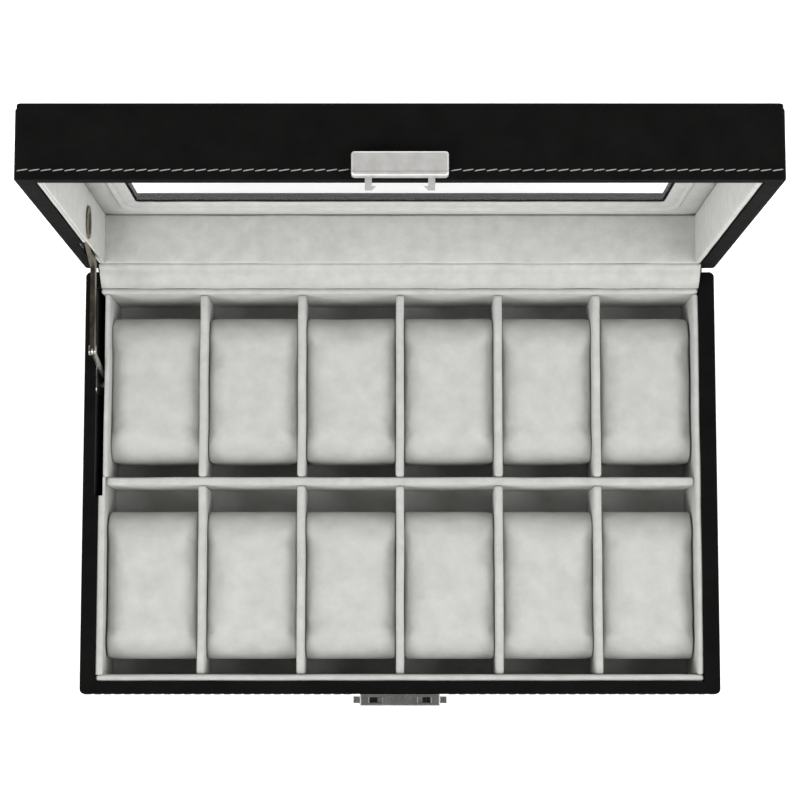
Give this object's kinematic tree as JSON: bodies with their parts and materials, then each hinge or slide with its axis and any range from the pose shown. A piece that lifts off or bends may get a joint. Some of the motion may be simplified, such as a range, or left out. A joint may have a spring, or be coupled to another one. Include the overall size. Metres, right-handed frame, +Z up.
{
  "type": "watch box",
  "caption": "Rectangular leather-covered case with a hinged glass-window lid, velvet-lined divided compartments with cushions, a folding lid stay and a two-button front lock.",
  "frame": {"origin": "centre of the base's underside", "axes": "+X along the front from left to right, +Y from front to back, +Z up; the lid stands open at 90 degrees at rest"},
  "size_m": [0.3, 0.2375, 0.2554],
  "materials": {
    "black_leather": "fine grained, semi-matte",
    "pillow_velvet": "short nap velvet",
    "lining_velvet": "short nap velvet",
    "bottom_felt": "matte felt",
    "fibreboard": "black stained",
    "window_glass": "polished",
    "bronze_steel": "antique bronze plated",
    "plated_steel": "zinc plated",
    "steel_wire": "plain",
    "satin_nickel": "satin nickel"
  },
  "bodies": {
    "base": {"base_board_back": "fibreboard", "base_board_bottom": "fibreboard", "base_board_front": "fibreboard", "base_board_left": "fibreboard", "base_board_right": "fibreboard", "base_felt": "bottom_felt", "base_leather": "black_leather", "base_liner_back": "lining_velvet", "base_liner_floor": "lining_velvet", "base_liner_front": "lining_velvet", "base_liner_left_back": "lining_velvet", "base_liner_left_front": "lining_velvet", "base_liner_right": "lining_velvet", "divider_cross_1": "lining_velvet", "divider_cross_2": "lining_velvet", "divider_cross_3": "lining_velvet", "divider_cross_4": "lining_velvet", "divider_cross_5": "lining_velvet", "divider_long": "lining_velvet", "hinge_lining": "lining_velvet", "hinge_spine": "black_leather", "lock_housing": "satin_nickel", "lock_screws": "steel_wire", "lock_spring_left": "steel_wire", "lock_spring_right": "steel_wire", "stay_base_bracket": "plated_steel"},
    "lid": {"glass_pane": "window_glass", "hasp_plate": "satin_nickel", "hasp_screws": "steel_wire", "lid_board_back": "fibreboard", "lid_board_front": "fibreboard", "lid_board_left": "fibreboard", "lid_board_right": "fibreboard", "lid_leather": "black_leather", "lid_liner_back": "lining_velvet", "lid_liner_front": "lining_velvet", "lid_liner_left": "lining_velvet", "lid_liner_right": "lining_velvet", "lid_top_frame": "fibreboard", "lid_top_panel": "black_leather", "stay_lid_bracket": "plated_steel", "stay_lid_plate": "plated_steel", "window_bezel": "lining_velvet"},
    "stay_arm": {"stay_arm": "bronze_steel"},
    "stay_link": {"stay_link": "plated_steel", "stay_elbow_rivet": "plated_steel"},
    "lock_button_left": {"lock_button_left": "satin_nickel"},
    "lock_button_right": {"lock_button_right": "satin_nickel"},
    "cushion_back_1": {"cushion_back_1": "pillow_velvet"},
    "cushion_back_2": {"cushion_back_2": "pillow_velvet"},
    "cushion_back_3": {"cushion_back_3": "pillow_velvet"},
    "cushion_back_4": {"cushion_back_4": "pillow_velvet"},
    "cushion_back_5": {"cushion_back_5": "pillow_velvet"},
    "cushion_back_6": {"cushion_back_6": "pillow_velvet"},
    "cushion_front_1": {"cushion_front_1": "pillow_velvet"},
    "cushion_front_2": {"cushion_front_2": "pillow_velvet"},
    "cushion_front_3": {"cushion_front_3": "pillow_velvet"},
    "cushion_front_4": {"cushion_front_4": "pillow_velvet"},
    "cushion_front_5": {"cushion_front_5": "pillow_velvet"},
    "cushion_front_6": {"cushion_front_6": "pillow_velvet"}
  },
  "joints": [
    {"name": "lid_hinge", "type": "hinge", "parent": "base", "child": "lid", "pos_m": [0, 0.1009, 0.0495], "axis": [-1, 0, 0], "range_deg": [-90, 0], "deforming": ["hinge_spine", "hinge_lining"]},
    {"name": "stay_link_pivot", "type": "hinge", "parent": "base", "child": "stay_link", "pos_m": [-0.1424, 0.0488, 0.0239], "axis": [-1, 0, 0], "range_deg": [-92.82, 0]},
    {"name": "stay_arm_pivot", "type": "hinge", "parent": "lid", "child": "stay_arm", "pos_m": [-0.1424, 0.1081, 0.104], "axis": [-1, 0, 0], "range_deg": [0, 91.96]},
    {"name": "lock_button_left_press", "type": "slide", "parent": "base", "child": "lock_button_left", "axis": [1, 0, 0], "range_m": [0, 0.002], "stiffness_N_per_m": 300, "springref_m": -0.002, "deforming": ["lock_spring_left"]},
    {"name": "lock_button_right_press", "type": "slide", "parent": "base", "child": "lock_button_right", "axis": [-1, 0, 0], "range_m": [0, 0.002], "stiffness_N_per_m": 300, "springref_m": -0.002, "deforming": ["lock_spring_right"]},
    {"name": "cushion_back_1_lift", "type": "slide", "parent": "base", "child": "cushion_back_1", "axis": [0, 0, 1], "range_m": [0, 0.05]},
    {"name": "cushion_back_2_lift", "type": "slide", "parent": "base", "child": "cushion_back_2", "axis": [0, 0, 1], "range_m": [0, 0.05]},
    {"name": "cushion_back_3_lift", "type": "slide", "parent": "base", "child": "cushion_back_3", "axis": [0, 0, 1], "range_m": [0, 0.05]},
    {"name": "cushion_back_4_lift", "type": "slide", "parent": "base", "child": "cushion_back_4", "axis": [0, 0, 1], "range_m": [0, 0.05]},
    {"name": "cushion_back_5_lift", "type": "slide", "parent": "base", "child": "cushion_back_5", "axis": [0, 0, 1], "range_m": [0, 0.05]},
    {"name": "cushion_back_6_lift", "type": "slide", "parent": "base", "child": "cushion_back_6", "axis": [0, 0, 1], "range_m": [0, 0.05]},
    {"name": "cushion_front_1_lift", "type": "slide", "parent": "base", "child": "cushion_front_1", "axis": [0, 0, 1], "range_m": [0, 0.05]},
    {"name": "cushion_front_2_lift", "type": "slide", "parent": "base", "child": "cushion_front_2", "axis": [0, 0, 1], "range_m": [0, 0.05]},
    {"name": "cushion_front_3_lift", "type": "slide", "parent": "base", "child": "cushion_front_3", "axis": [0, 0, 1], "range_m": [0, 0.05]},
    {"name": "cushion_front_4_lift", "type": "slide", "parent": "base", "child": "cushion_front_4", "axis": [0, 0, 1], "range_m": [0, 0.05]},
    {"name": "cushion_front_5_lift", "type": "slide", "parent": "base", "child": "cushion_front_5", "axis": [0, 0, 1], "range_m": [0, 0.05]},
    {"name": "cushion_front_6_lift", "type": "slide", "parent": "base", "child": "cushion_front_6", "axis": [0, 0, 1], "range_m": [0, 0.05]}
  ],
  "couplings": [
    {"joint": "stay_link_pivot", "follows": "lid_hinge", "ratio": 1.0312},
    {"joint": "stay_arm_pivot", "follows": "lid_hinge", "ratio": -1.0217}
  ]
}
